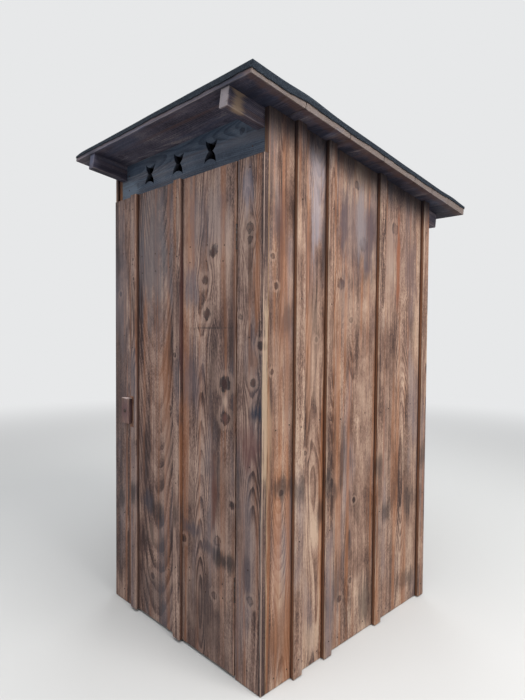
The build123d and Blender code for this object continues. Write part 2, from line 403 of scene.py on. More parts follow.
@dataclass(frozen=True)
class TimberFinish:
    """The finish of one timber, or of like timbers side by side in one node."""

    name: str
    stain: Stain
    lay: Lay
    lanes: tuple[Span, ...]
    face: float
    inward: float
    thick: float
    pith: Span = (0.0, 0.05)
    taper: float = 0.02
    ring: float = 0.0055
    knots: tuple[Knot, ...] = ()
    smudges: tuple[Smudge, ...] = ()
    seed: float = 0.0
    tilt: float = 0.0
    lift: float = 0.0
    edge_share: float = 0.8
    # The eaves' level, under which painted shade of the roof is laid; 0 lays none.
    eaves: float = 0.0
    grime: float = 0.0
    grime_reach: float = 0.035
    arris_reach: float = 0.0045
    relief: float = 0.0008
    raw_back: bool = False

    def material(self) -> bpy.types.Material:
        """Builds the material.

        Returns:
            The finished material.
        """
        material, g = new_material(self.name)
        spot = self._spot(g)
        flow, size, dark = self._knots(spot)
        late, fade = self._rings(spot, flow)
        if self.knots:
            fade = fade.most(1.0 - size.rise(1.2, 3.4))
        fibre = spot.noise(520.0, 6.0, 2.0, 0.6)
        streak = spot.noise(58.0, 0.8, 3.0, 0.62)
        broad = spot.noise(15.0, 1.6, 4.0, 0.6, (2.0, 4.0, 8.0))
        cloud = spot.noise(9.0, 4.5, 4.0, 0.62, (8.0, 2.0, 6.0))
        stipple = spot.noise(300.0, 90.0, 2.0, 0.7)
        brushed = spot.noise(6.0, 2.0, 2.0, 0.5, (4.0, 9.0, 7.0)).rise(0.42, 0.62)
        tone = (streak - 0.5) * 1.15 + (broad - 0.5) * 1.3 + (cloud - 0.5) * 1.6 + (fibre - 0.5) * 0.6
        tone = (stipple - 0.5) * (brushed * 0.8 + 0.7) + tone
        # Darker towards the timber's long edges, where the battens lie.
        if self.grime > 0.0:
            tone = tone - self._edge(spot, self.grime_reach) * (cloud - 0.2) * self.grime
        tone = (tone - late * (0.10 + 0.40 * fade)) * self.stain.contrast + (0.58 + self.lift)
        colour = self._colour(spot, tone)
        if self.knots:
            colour = self._knotted(spot, colour, size, dark)
        colour = self._smudged(spot, self._edged(spot, colour))
        if self.raw_back:
            back = g.mix(tone.rise(0.1, 0.95), self.stain.raw_dark, self.stain.raw)
            colour = g.mix(spot.into.rise(self.thick * 0.75, self.thick * 0.97), colour, back)
        # Painted shadow of the eaves: a dark, cool band close under the roof.
        if self.eaves:
            colour = self._painted_roof_shade(spot, colour)
        height = late * (0.15 + 0.4 * fade) + fibre * 0.45 + stipple * 0.25
        rough = self.stain.roughness + (streak - 0.5) * 0.3
        g.surface(height, self.relief, Base_Color=colour, Roughness=rough, Specular_IOR_Level=0.3)
        return material

    def _spot(self, g: Graph) -> Spot:
        """Works out where each point lies on the timber.

        Args:
            g: The material's graph.

        Returns:
            The point's distances, number and seeded place.
        """
        axes = g.position(self.tilt).axes()
        across, into, along = (axes[number] for number in self.lay.value)
        middles = [(low + high) / 2 for low, high in self.lanes]
        middle: object = middles[0]
        lane: Signal = across * 0.0
        for number in range(1, len(self.lanes)):
            past = across.above((self.lanes[number - 1][1] + self.lanes[number][0]) / 2)
            middle = past * (middles[number] - middles[number - 1]) + middle
            lane = past + lane
        across = across - middle
        into = (into - self.face) * self.inward
        shift = self.seed * 1.37
        place = g.vector(across + lane * 0.73 + shift, into + shift * 0.31, along + lane * 0.61)
        return Spot(g, across, into, along, lane, g.vector(across, along, 0.0), place)

    def _edge(self, spot: Spot, reach: float) -> Signal:
        """1 along the timber's long edges, falling to 0 within a reach.

        Args:
            spot: The point on the timber.
            reach: How far in it falls to 0.

        Returns:
            The number from 0 to 1.
        """
        halves = [(high - low) / 2 for low, high in self.lanes]
        room: object = halves[0]
        for number in range(1, len(halves)):
            wider = halves[number] - halves[number - 1]
            if abs(wider) > 2 * SMALLEST_GAP:
                room = spot.lane.above(number - 0.5) * wider + room
        return 1.0 - (room - abs(spot.across)).rise(0.0, reach)

    def _knots(self, spot: Spot) -> tuple:
        """The knots' effect on the timber.

        Args:
            spot: The point on the timber.

        Returns:
            How far the grain bends round them, the distance to the nearest in its radii, and how
            dark its heart is.
        """
        if not self.knots:
            return 0.0, None, None
        wobble = spot.noise(80.0, 60.0, 3.0, 0.65) - 0.5
        flow: object = 0.0
        nearest: Signal | None = None
        dark: object = 0.0
        for knot in self.knots:
            distance = spot.away(knot, knot.radius, knot.radius)
            nearest = distance.least(nearest) if nearest else distance
            flow = (distance * -0.12).exponential() * (spot.across - knot.across) * -0.78 + flow
            dark = (1.0 - distance.rise(2.0, 4.0)) * knot.dark + dark
        return flow, nearest.root() + wobble * 1.7, dark.least(1.0)

    def _rings(self, spot: Spot, flow: object) -> tuple[Signal, Signal]:
        """The growth rings, as the saw cut through them.

        Args:
            spot: The point on the timber.
            flow: How far the grain bends round the knots.

        Returns:
            1 on the dense late wood, and how strongly it shows there.
        """
        sway = spot.noise(1.1, 0.9, 1.0) - 0.5
        heave = spot.noise(1.7, 1.3, 1.0, 0.5, (3.1, 7.7, 1.3)) - 0.5
        side = spot.across + flow - self.pith[0] + sway * 0.12
        deep = spot.into + self.pith[1] + spot.along * self.taper + heave * 0.10
        radius = (side * side + deep * deep).root()
        fine = spot.noise(26.0, 3.0, 2.0, 0.5, (0.0, 5.0, 0.0)) - 0.5
        phase = ((radius + fine * 0.006) / self.ring).fraction()
        late = phase.rise(0.25, 0.86) * (1.0 - phase.rise(0.9, 1.0))
        return late, spot.noise(11.0, 0.8, 2.0, 0.5, (9.0, 0.0, 4.0)).rise(0.35, 0.66)

    def _colour(self, spot: Spot, tone: Signal) -> Signal:
        """The stained colour, before knots and smudges.

        Args:
            spot: The point on the timber.
            tone: How light the wood is here, about 0.5 on average.

        Returns:
            The colour.
        """
        stain = self.stain
        stops = {0.0: stain.deep, 0.26: stain.dark, 0.52: stain.body, 0.78: stain.pale, 1.0: stain.worn}
        colour = spot.graph.node("ShaderNodeValToRGB", {"stops": stops}, {0: tone})
        for veil, low, high, share, pattern in (
            (stain.cool, 0.5, 0.68, 0.5, (8.0, 1.5, 3.0, 0.6, (2.0, 9.0, 8.0))),
            (stain.warm, 0.5, 0.66, 0.52, (27.0, 0.6, 3.0, 0.6, (7.0, 3.0, 5.0))),
            (stain.deep, 0.6, 0.72, 0.4, (120.0, 1.6, 2.0, 0.6, (3.0, 8.0, 1.0))),
            (stain.soot, 0.54, 0.74, 0.5, (10.0, 2.4, 4.0, 0.62, (6.0, 1.0, 2.0))),
        ):
            colour = spot.graph.mix(spot.noise(*pattern).rise(low, high) * share, colour, veil)
        return colour

    def _knotted(self, spot: Spot, colour: Signal, size: Signal, dark: Signal) -> Signal:
        """Paints the knots over a colour.

        Args:
            spot: The point on the timber.
            colour: The colour below.
            size: The distance to the nearest knot in its radii.
            dark: How dark the nearest knot's heart is.

        Returns:
            The colour with its knots.
        """
        mix, stain = spot.graph.mix, self.stain
        crack = spot.noise(300.0, 200.0, 2.0, 0.7)
        sort = spot.noise(9.0, 5.0, 0.0, 0.5, (1.0, 6.0, 3.0)).rise(0.44, 0.56)
        halo = size.rise(1.05, 1.4) * (1.0 - size.rise(1.7, 2.6))
        rim = size.rise(0.6, 0.8) * (1.0 - size.rise(0.95, 1.25))
        heart = 1.0 - size.rise(0.62, 0.92)
        inner = (size * 4.5).fraction().rise(0.3, 0.9) * 0.45 + crack.rise(0.5, 0.68) * 0.3
        middle = mix(inner * 0.6, mix(sort * 0.7, stain.core, stain.knot), stain.dark)
        colour = mix(halo * 0.4, colour, stain.pale)
        colour = mix(heart * dark, colour, middle)
        return mix(rim * (dark * 0.3 + 0.4), colour, mix(sort, stain.knot, stain.soot))

    def _smudged(self, spot: Spot, colour: Signal) -> Signal:
        """Lays the smudges over a colour.

        Args:
            spot: The point on the timber.
            colour: The colour below.

        Returns:
            The colour with its smudges.
        """
        if not self.smudges:
            return colour
        ragged = spot.noise(28.0, 7.0, 3.0, 0.6, (1.0, 1.0, 5.0)) - 0.5
        fine = spot.noise(110.0, 5.0, 2.0, 0.5, (4.0, 2.0, 3.0)) - 0.5
        rough = ragged * 2.0 + fine * 1.3
        for smudge in self.smudges:
            distance = spot.away(smudge, smudge.width / 2, smudge.length / 2).root()
            cover = 1.0 - (distance + rough).rise(0.25, 1.15)
            colour = spot.graph.mix(cover * smudge.strength, colour, smudge.colour)
        return colour

    def _painted_roof_shade(self, spot: Spot, colour: Signal) -> Signal:
        """Paints shade on the timber close under the roof: a dark, cool band that stands in for the eaves'
        shadow.

        Args:
            spot: The point on the timber.
            colour: The colour below.

        Returns:
            The colour with its band of painted shade.
        """
        level = spot.graph.position(ROOF_PITCH).axes()[2]
        ragged = spot.noise(30.0, 5.0, 3.0, 0.6, (3.0, 3.0, 7.0)) - 0.5
        depth = self.eaves - level + ragged * 0.07
        return spot.graph.mix((1.0 - depth.rise(0.01, 0.15)) * 0.82, colour, self.stain.under_roof_shade)

    def _edged(self, spot: Spot, colour: Signal) -> Signal:
        """Wears the long arrises pale, tones the timber's edges and paints shade on the deeper half of each
        edge, next to what the timber lies on.

        Args:
            spot: The point on the timber.
            colour: The colour of the face.

        Returns:
            The colour of the face and the edges.
        """
        mix, into, stain = spot.graph.mix, spot.into, self.stain
        patchy = spot.noise(30.0, 3.0, 3.0, 0.6, (5.0, 5.0, 1.0))
        tint = mix(patchy.rise(0.42, 0.64), stain.edge, mix(0.3, stain.edge, stain.warm))
        colour = mix(into.rise(0.004, 0.009) * self.edge_share, colour, tint)
        # Painted shade: the deeper half of each edge face darkens to deep, in the corner beside what the
        # timber lies on.
        root = into.rise(self.thick * 0.5, self.thick * 0.9)
        colour = mix(root * self.edge_share * 0.9, colour, stain.deep)
        rub = (spot.noise(60.0, 7.0) + self._edge(spot, self.arris_reach) * 0.4).rise(0.72, 0.9)
        return mix(rub * (1.0 - into.rise(0.0025, 0.004)) * 0.6, colour, stain.worn)


@dataclass(frozen=True)
class FeltFinish:
    """Slate-chipped bitumen felt, worn pale along its fold."""

    name: str = "felt"
    chips: Colour = shade(48, 56, 66)
    gaps: Colour = shade(23, 28, 36)
    pale: Colour = shade(94, 104, 113)
    fold_radius: float = 0.004
    chips_a_metre: float = 620.0

    def material(self, crown: float) -> bpy.types.Material:
        """Builds the material.

        Args:
            crown: Height of the sheet's face over the roof plane, in the roof's own axes.

        Returns:
            The finished material.
        """
        material, g = new_material(self.name)
        place = g.position()
        chips = {"Vector": place, "Scale": self.chips_a_metre}
        grain, _, sparkle = g.node("ShaderNodeTexVoronoi", {"feature": "F1"}, chips, "Color").axes()
        patches = g.noise(place * 5.0, 4.0, 0.6)
        wear = g.noise(place * 42.0, 3.0, 0.6)
        level = g.position(ROOF_PITCH).axes()[2]
        fold = level.rise(crown - 2 * self.fold_radius, crown - 0.4 * self.fold_radius)
        colour = g.mix(grain.rise(0.15, 0.85), self.gaps, self.chips)
        colour = g.mix(patches.rise(0.4, 0.7) * 0.35, colour, self.gaps)
        colour = g.mix(sparkle.rise(0.88, 0.99) * 0.5, colour, self.pale)
        colour = g.mix(fold * wear.rise(0.35, 0.7) * 0.3, colour, self.pale)
        height = grain * 0.5 + wear * 0.3
        g.surface(height, 0.0005, Base_Color=colour, Roughness=0.95, Specular_IOR_Level=0.2)
        return material


@dataclass(frozen=True)
class SteelFinish:
    """Zinc-plated steel gone dull, with rust coming through."""

    name: str
    bright: Colour = shade(96, 90, 88)
    rust: Colour = shade(64, 46, 38)
    rusted: float = 0.8

    def material(self) -> bpy.types.Material:
        """Builds the material.

        Returns:
            The finished material.
        """
        material, g = new_material(self.name)
        place = g.position()
        bloom = g.noise(place * 120.0, 4.0, 0.6)
        speck = g.noise(place * 900.0, 2.0)
        spread = bloom.rise(0.75 - self.rusted * 0.5, 0.95 - self.rusted * 0.5)
        colour = g.mix(spread, g.mix(speck * 0.3, self.bright, self.rust), self.rust)
        height = speck * spread + bloom * 0.3
        rough = 0.38 + spread * 0.45
        g.surface(height, 0.0003, Base_Color=colour, Metallic=1.0 - spread, Roughness=rough)
        return material


def dress(name: str, material: bpy.types.Material) -> None:
    """Gives a node of the frame its material.

    Args:
        name: The node.
        material: Its material.
    """
    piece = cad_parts[name]
    piece.data.materials.clear()
    piece.data.materials.append(material)
    log.info("dressed %s with %s", name, material.name)


def turned(point: Vector, angle: float) -> Vector:
    """A point turned about X, by the roof's pitch to lay its slope level or by minus it to turn back."""
    return Matrix.Rotation(angle, 3, "X") @ point


def lanes_of(name: str, axis: int, tilt: float = 0.0) -> tuple[Span, ...]:
    """Where the timbers of a node lie side by side, read from its mesh.

    Args:
        name: The node.
        axis: The axis across the timbers.
        tilt: The roof's pitch, for a timber of the roof.

    Returns:
        The span of each timber, in order.
    """
    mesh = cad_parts[name].data
    places = [turned(vertex.co, tilt)[axis] for vertex in mesh.vertices]
    faces = [[places[corner] for corner in face.vertices] for face in mesh.polygons]
    spans = sorted((min(corners), max(corners)) for corners in faces)
    lanes = [list(spans[0])]
    for low, high in spans[1:]:
        if low > lanes[-1][1] + SMALLEST_GAP:
            lanes.append([low, high])
        else:
            lanes[-1][1] = max(lanes[-1][1], high)
    return tuple((low, high) for low, high in lanes)


def reach_of(name: str, axis: int, tilt: float = 0.0) -> Span:
    """The lowest and highest place of a node on an axis, after a tilt."""
    places = [turned(vertex.co, tilt)[axis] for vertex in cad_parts[name].data.vertices]
    return (min(places), max(places))


def timber_finish(name: str, stain: Stain, lay: Lay, outward: int, **details: object) -> bpy.types.Material:
    """Makes the finish of a node of the frame, as stained or raw timber.

    Args:
        name: The node.
        stain: Its colours.
        lay: How it lies.
        outward: 1 or -1, the side that its face looks to on the axis into it.
        **details: Other fields of its finish.

    Returns:
        The material.
    """
    tilt = float(details.get("tilt", 0.0))
    low, high = reach_of(name, lay.value[1], tilt)
    lanes = lanes_of(name, lay.value[0], tilt)
    face = high if outward > 0 else low
    return TimberFinish(name, stain, lay, lanes, face, -outward, high - low, **details).material()


def finish_timber(name: str, stain: Stain, lay: Lay, outward: int, **details: object) -> None:
    """Gives a node of the frame its timber finish, as timber_finish makes it."""
    dress(name, timber_finish(name, stain, lay, outward, **details))


def finish_front(name: str, **details: object) -> None:
    """Gives an upright timber of the front its finish."""
    finish_timber(name, FRONT_STAIN_AND_SHADE, Lay.FRONT_UPRIGHT, -1, **details)


def knots(*rows: tuple[float, ...]) -> tuple[Knot, ...]:
    """Knots, each from a row of its fields."""
    return tuple(Knot(*row) for row in rows)


def smudges(*rows: tuple) -> tuple[Smudge, ...]:
    """Smudges, each from a row of its fields."""
    return tuple(Smudge(*row) for row in rows)


def new_piece(name: str, mesh: bpy.types.Mesh, body: str) -> bpy.types.Object:
    """Puts a mesh into the scene as a piece that rides on a body.

    Args:
        name: The piece's name.
        mesh: Its mesh, in the frame's metres.
        body: The body that it moves with.

    Returns:
        The new object.
    """
    piece = bpy.data.objects.new(name, mesh)
    bpy.context.scene.collection.objects.link(piece)
    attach(piece, body)
    log.info("made %s: %d faces on %s", name, len(mesh.polygons), body)
    return piece


@dataclass
class FrontWall:
    """The fixed boards beside the door and the panel over it."""

    def dress(self) -> None:
        """Finishes the boards and the panel."""
        soot, warm, cool = FRONT_STAIN_AND_SHADE.soot, FRONT_STAIN_AND_SHADE.warm, FRONT_STAIN_AND_SHADE.cool
        low, high = lanes_of("front_board_right", 0)[0]
        arris = (high - low) / 2
        panel_left = reach_of("upper_front_panel", 0)[0]
        finish_front(
            "front_board_left", seed=3.0, pith=(0.02, 0.06), taper=0.01, raw_back=True, lift=-0.10,
            grime=0.6, knots=knots((-0.03, 1.44, 0.010)),
            smudges=smudges(
                (-0.03, 1.50, 0.14, 0.80, cool, 0.4), (-0.02, 1.00, 0.16, 0.90, shade(88, 74, 74), 0.5),
                (-0.03, 0.47, 0.07, 0.14, soot, 0.6),
            ),
        )
        finish_front(
            "front_board_right", seed=11.0, pith=(0.01, 0.045), taper=0.012, raw_back=True, lift=0.06,
            grime=0.6, edge_share=0.15,
            knots=knots(
                (-0.001, 1.625, 0.017), (-0.001, 1.585, 0.013), (-0.048, 1.320, 0.010),
                (0.057, 1.219, 0.014, 0.8), (0.019, 1.090, 0.013, 0.8), (0.011, 0.321, 0.015, 0.3),
            ),
            smudges=smudges(
                # The pale cool patch at 1.76 up is a painted sheen.
                (0.035, 1.42, 0.035, 0.60, warm, 0.6), (-0.015, 1.76, 0.06, 0.18, shade(124, 126, 144), 0.5),
                (0.0, 1.50, 0.025, 0.30, soot, 0.6), (0.02, 1.17, 0.07, 0.10, shade(136, 100, 82), 0.5),
                (0.0, 0.85, 0.14, 0.24, shade(114, 76, 72), 0.65),
                (0.036, 0.985, 0.09, 0.085, shade(42, 48, 64), 0.9),
                (arris, 1.02, 0.010, 0.80, shade(208, 180, 152), 0.65),
                (arris - 0.0045, 0.32, 0.006, 0.90, shade(190, 172, 160), 0.6),
                (-0.006, 0.41, 0.05, 0.20, shade(70, 62, 70), 0.6),
            ),
        )
        finish_timber(
            "upper_front_panel", PANEL_STAIN_AND_SHADE, Lay.FRONT_LEVEL, -1, seed=5.0,
            pith=(0.03, 0.05), taper=0.02, lift=0.06,
            knots=knots((0.03, 0.36, 0.012), (-0.03, -0.34, 0.010)),
            # Painted light: a pale, cool patch at the panel's left end, where sky light reaches under the
            # roof.
            smudges=smudges((-0.05, panel_left + 0.05, 0.10, 0.20, shade(130, 146, 164), 0.65)),
        )


@dataclass
class Door:
    """The door's boards, cover battens, ledges and brace, and its hinges."""

    def dress(self) -> None:
        """Finishes the door and its hinges."""
        soot, warm, pale = FRONT_STAIN_AND_SHADE.soot, FRONT_STAIN_AND_SHADE.warm, FRONT_STAIN_AND_SHADE.pale
        finish_front(
            "door_board_left", seed=7.0, pith=(0.025, 0.32), taper=-0.12, ring=0.011, raw_back=True,
            lift=-0.11, grime=0.8, knots=knots((0.11, 0.95, 0.009), (-0.02, 0.20, 0.012)),
            smudges=smudges(
                (-0.03, 1.62, 0.34, 0.75, shade(104, 104, 110), 0.6), (0.08, 1.05, 0.10, 0.60, warm, 0.5),
                (0.09, 0.80, 0.10, 0.30, pale, 0.3), (-0.06, 0.52, 0.10, 0.11, shade(62, 60, 70), 0.7),
                (0.02, 0.50, 0.09, 0.10, soot, 0.6), (-0.107, 0.94, 0.008, 0.18, soot, 0.8),
                (0.0, 0.38, 0.14, 0.12, pale, 0.35), (-0.02, 0.13, 0.30, 0.24, shade(84, 72, 72), 0.5),
            ),
        )
        finish_front(
            "door_board_right", seed=13.0, pith=(-0.02, 0.07), taper=0.012, raw_back=True, lift=0.10,
            grime=0.8,
            knots=knots(
                (0.044, 1.567, 0.022, 0.9), (-0.008, 1.463, 0.017, 0.7), (0.004, 1.334, 0.020, 0.7),
                (0.111, 1.076, 0.025, 1.0), (0.112, 0.951, 0.022, 0.65), (0.154, 0.638, 0.014, 0.9),
                (0.070, 0.482, 0.018, 0.2), (-0.140, 0.432, 0.014, 0.9), (0.053, 0.269, 0.013, 0.2),
            ),
            smudges=smudges(
                (-0.10, 1.64, 0.06, 0.40, warm, 0.5), (0.02, 1.68, 0.30, 0.30, FRONT_STAIN_AND_SHADE.cool, 0.4),
                (-0.10, 1.44, 0.12, 0.18, shade(96, 94, 106), 0.6), (0.03, 1.281, 0.30, 0.010, soot, 0.5),
                (-0.09, 1.10, 0.16, 0.36, shade(120, 106, 110), 0.5),
                (0.112, 0.951, 0.036, 0.040, shade(118, 78, 72), 0.6),
                (0.112, 1.01, 0.045, 0.06, shade(204, 174, 156), 0.75),
                (0.052, 0.64, 0.040, 0.30, shade(104, 64, 52), 0.7), (0.105, 0.74, 0.09, 0.14, pale, 0.35),
                (-0.10, 0.485, 0.18, 0.08, shade(78, 72, 80), 0.7),
                (0.02, 0.440, 0.16, 0.06, shade(78, 70, 76), 0.6), (0.115, 0.415, 0.15, 0.09, soot, 0.8),
                (0.0, 0.16, 0.34, 0.36, shade(84, 70, 68), 0.45),
            ),
        )
        finish_front(
            "door_batten_edge", seed=17.0, pith=(0.03, 0.03), taper=0.006,
            knots=knots((0.0, 1.585, 0.006), (0.004, 1.50, 0.007)),
            smudges=smudges((0.0, 0.53, 0.06, 0.14, soot, 0.7)),
        )
        finish_front(
            "door_batten_middle", seed=19.0, pith=(0.03, 0.03), taper=0.006,
            knots=knots((-0.010, 1.171, 0.008)),
            smudges=smudges(
                (-0.01, 0.51, 0.05, 0.12, soot, 0.6), (0.01, 1.70, 0.03, 0.40, FRONT_STAIN_AND_SHADE.worn, 0.4),
                (0.0225, 0.76, 0.010, 0.56, shade(164, 112, 80), 0.65),
                (0.0225, 1.38, 0.010, 0.76, shade(84, 54, 54), 0.7),
            ),
        )
        finish_timber("door_ledges", FRAME_STAIN, Lay.FRONT_LEVEL, 1, seed=23.0)
        finish_timber("door_brace", FRAME_STAIN, Lay.FRONT_UPRIGHT, 1, seed=29.0)
        steel = SteelFinish("hinge_steel").material()
        dress("hinge_moving_leaves", steel)
        dress("hinge_fixed_leaves", steel)


@dataclass
class TurnButton:
    """The wooden button that holds the door, on its screw."""

    def dress(self) -> None:
        """Finishes the button and its screw."""
        finish_front(
            "turn_button", seed=31.0, pith=(0.02, 0.02), edge_share=0.4,
            smudges=smudges(
                (0.0, 0.90, 0.10, 0.20, shade(104, 74, 78), 0.7),
                # A pale line along the button's top: a painted highlight, with its worn arris.
                (0.0, 0.963, 0.09, 0.012, shade(216, 196, 190), 0.8),
            ),
        )
        dress("turn_button_pivot", SteelFinish("screw_steel").material())


def scattered_knots(chance: random.Random, half: float) -> tuple[Knot, ...]:
    """A few knots for a board that the photograph doesn't show.

    Args:
        chance: The source of its random places.
        half: Half the board's width.

    Returns:
        Its knots.
    """
    count = 3 if half < 0.1 else 5
    rows = []
    for number in range(count):
        along = 0.25 + (number + chance.uniform(0.1, 0.9)) * 1.6 / count
        rows.append((chance.uniform(-0.7, 0.7) * half, along, chance.uniform(0.011, 0.021)))
    return knots(*rows)


def scattered_smudges(chance: random.Random, half: float) -> tuple[Smudge, ...]:
    """A few scorched, warm and pale patches for a board that the photograph doesn't show.

    Args:
        chance: The source of its random places.
        half: Half the board's width.

    Returns:
        Its smudges.
    """
    colours = (SIDE_STAIN.soot, SIDE_STAIN.warm, SIDE_STAIN.soot, SIDE_STAIN.pale, SIDE_STAIN.deep)
    rows = []
    for number, colour in enumerate(colours):
        across = chance.uniform(-0.8, 0.8) * half
        along = 0.1 + (number + chance.uniform(0.0, 0.9)) * 0.36
        width = chance.uniform(0.04, 0.12)
        rows.append((across, along, width, chance.uniform(0.12, 0.45), colour, 0.5))
    return smudges(*rows)


def finish_board(
    name: str, lay: Lay, outward: int, chance: random.Random, marks: tuple | None = None, **details: object,
) -> None:
    """Finishes one wide board of the side and rear walls.

    Args:
        name: The board.
        lay: How it lies.
        outward: 1 or -1, the side that its face looks to.
        chance: The source of its grain, and of its marks if it has none of its own.
        marks: Its own knots and smudges.
        **details: Other fields of its finish.
    """
    low, high = lanes_of(name, lay.value[0])[0]
    half = (high - low) / 2
    pith = (chance.uniform(-0.5, 0.5) * half, chance.uniform(0.04, 0.10))
    taper = chance.uniform(-0.03, 0.03)
    own_knots, own_smudges = marks or (scattered_knots(chance, half), scattered_smudges(chance, half))
    finish_timber(
        name, SIDE_STAIN, lay, outward, pith=pith, taper=taper, raw_back=True, grime=0.9,
        knots=own_knots, smudges=own_smudges, **details,
    )


@dataclass
class SideWalls:
    """The two side walls: four boards each, with battens over the joints.

    The right wall's knots and smudges are given by its boards' numbers.
    """

    right_knots: dict[int, tuple[Knot, ...]] = field(default_factory=lambda: {
        1: knots(
            (-0.052, 1.527, 0.009), (-0.036, 1.426, 0.010), (-0.053, 1.129, 0.009), (-0.002, 0.697, 0.009),
        ),
        2: knots((0.02, 1.24, 0.008), (-0.04, 0.82, 0.009)),
        3: knots(
            (-0.092, 1.458, 0.021), (0.058, 1.629, 0.024), (0.005, 1.863, 0.016), (-0.023, 1.318, 0.010),
            (0.012, 0.577, 0.010), (-0.080, 0.194, 0.013), (-0.007, 0.248, 0.010),
        ),
        4: knots((-0.063, 1.727, 0.022, 0.3), (-0.152, 0.606, 0.013)),
    })

    def _right_smudges(self) -> dict[int, tuple[Smudge, ...]]:
        """Sets out the right wall's smudges.

        Returns:
            The smudges, by the number of their board.
        """
        soot, pale = SIDE_STAIN.soot, SIDE_STAIN.pale
        return {
            1: smudges(
                (-0.019, 1.64, 0.06, 0.45, shade(100, 70, 62), 0.5), (0.026, 1.31, 0.05, 0.14, soot, 0.5),
                (0.0, 0.715, 0.14, 0.10, soot, 0.65), (0.0, 0.20, 0.14, 0.40, shade(138, 94, 68), 0.5),
                (0.01, 1.12, 0.14, 0.60, shade(124, 94, 80), 0.45),
                (-0.064, 0.92, 0.022, 0.62, shade(196, 160, 130), 0.45),
            ),
            2: smudges(
                # The pale grey patch at 1.78 up is a painted sheen, a reflection of the sky.
                (0.0, 1.18, 0.12, 0.50, pale, 0.45), (0.015, 1.78, 0.09, 0.50, shade(160, 154, 162), 0.7),
                (0.055, 1.60, 0.03, 0.26, soot, 0.45), (-0.05, 1.52, 0.03, 0.50, shade(120, 84, 66), 0.5),
                (-0.053, 0.70, 0.05, 0.16, soot, 0.6), (0.059, 0.59, 0.05, 0.14, soot, 0.6),
                (0.0, 0.10, 0.10, 0.16, SIDE_STAIN.worn, 0.5),
            ),
            3: smudges(
                (0.0, 1.68, 0.30, 0.50, shade(110, 96, 98), 0.6),
                (-0.075, 1.64, 0.055, 0.46, shade(84, 70, 76), 0.75),
                (0.105, 1.67, 0.09, 0.50, shade(84, 70, 76), 0.75),
                (0.035, 1.75, 0.08, 0.40, shade(156, 148, 152), 0.5), (-0.02, 1.37, 0.20, 0.20, pale, 0.4),
                (-0.066, 0.79, 0.05, 0.28, soot, 0.5), (-0.13, 0.64, 0.10, 0.10, soot, 0.6),
                (-0.10, 0.25, 0.06, 0.34, soot, 0.5), (0.10, 0.12, 0.14, 0.22, soot, 0.6),
            ),
            4: smudges(
                (0.0, 1.64, 0.36, 0.50, shade(126, 98, 88), 0.45),
                (-0.03, 1.62, 0.030, 0.55, shade(152, 86, 52), 0.7), (-0.10, 1.62, 0.07, 0.34, pale, 0.4),
                (0.09, 1.54, 0.12, 0.38, shade(106, 86, 86), 0.6), (-0.11, 0.48, 0.13, 0.13, soot, 0.6),
                (0.09, 0.49, 0.15, 0.18, soot, 0.6), (0.08, 0.11, 0.22, 0.12, soot, 0.5),
            ),
        }

    def dress(self) -> None:
        """Finishes both walls."""
        chance = random.Random(41)
        right_smudges = self._right_smudges()
        for side, outward in (("right", 1), ("left", -1)):
            for number in range(1, 5):
                marks = (self.right_knots[number], right_smudges[number]) if side == "right" else None
                finish_board(
                    f"{side}_board_{number}", Lay.SIDE_UPRIGHT, outward, chance, marks,
                    seed=float(43 + number * 2 + outward), eaves=EAVES_LEVEL, lift=0.05,
                )
            finish_timber(
                f"{side}_battens", SIDE_STAIN, Lay.SIDE_UPRIGHT, outward, seed=61.0 + outward,
                pith=(0.03, 0.03), taper=0.006, edge_share=0.9, eaves=EAVES_LEVEL,
                smudges=smudges(
                    (0.0, 0.69, 0.08, 0.14, SIDE_STAIN.soot, 0.6),
                    (0.0, 1.27, 0.05, 0.20, SIDE_STAIN.dark, 0.4),
                ),
            )


@dataclass
class RearWall:
    """The rear wall, which repeats the side walls' boards."""

    def dress(self) -> None:
        """Finishes its boards and battens."""
        chance = random.Random(73)
        for number in range(1, 5):
            finish_board(f"rear_board_{number}", Lay.FRONT_UPRIGHT, 1, chance, seed=float(79 + number))
        finish_timber(
            "rear_battens", SIDE_STAIN, Lay.FRONT_UPRIGHT, 1, seed=89.0, pith=(0.03, 0.03), taper=0.006,
            smudges=smudges((0.0, 0.62, 0.08, 0.14, SIDE_STAIN.soot, 0.6)),
        )


@dataclass
class BaseFrame:
    """The unstained sills, posts, rails, header, bearer and floor planks.

    Each row is how its timbers lie, the side they face, the first one's seed and their names.
    """

    rows: tuple[tuple[Lay, int, float, tuple[str, ...]], ...] = (
        (Lay.FRONT_UPRIGHT, -1, 101.0,
         ("post_front_left", "post_front_right", "post_rear_left", "post_rear_right")),
        (Lay.FRONT_LEVEL, -1, 107.0,
         ("sill_front", "sill_rear", "door_header", "rear_top_rail", "mid_rails")),
        (Lay.FLAT_ALONG, 1, 113.0, ("sill_left", "sill_right", "floor_bearer")),
        (Lay.FLAT_ACROSS, 1, 127.0, ("floor_planks",)),
    )

    def dress(self) -> None:
        """Finishes the frame and the floor."""
        for lay, outward, seed, names in self.rows:
            for number, name in enumerate(names):
                finish_timber(name, FRAME_STAIN, lay, outward, seed=seed + number)


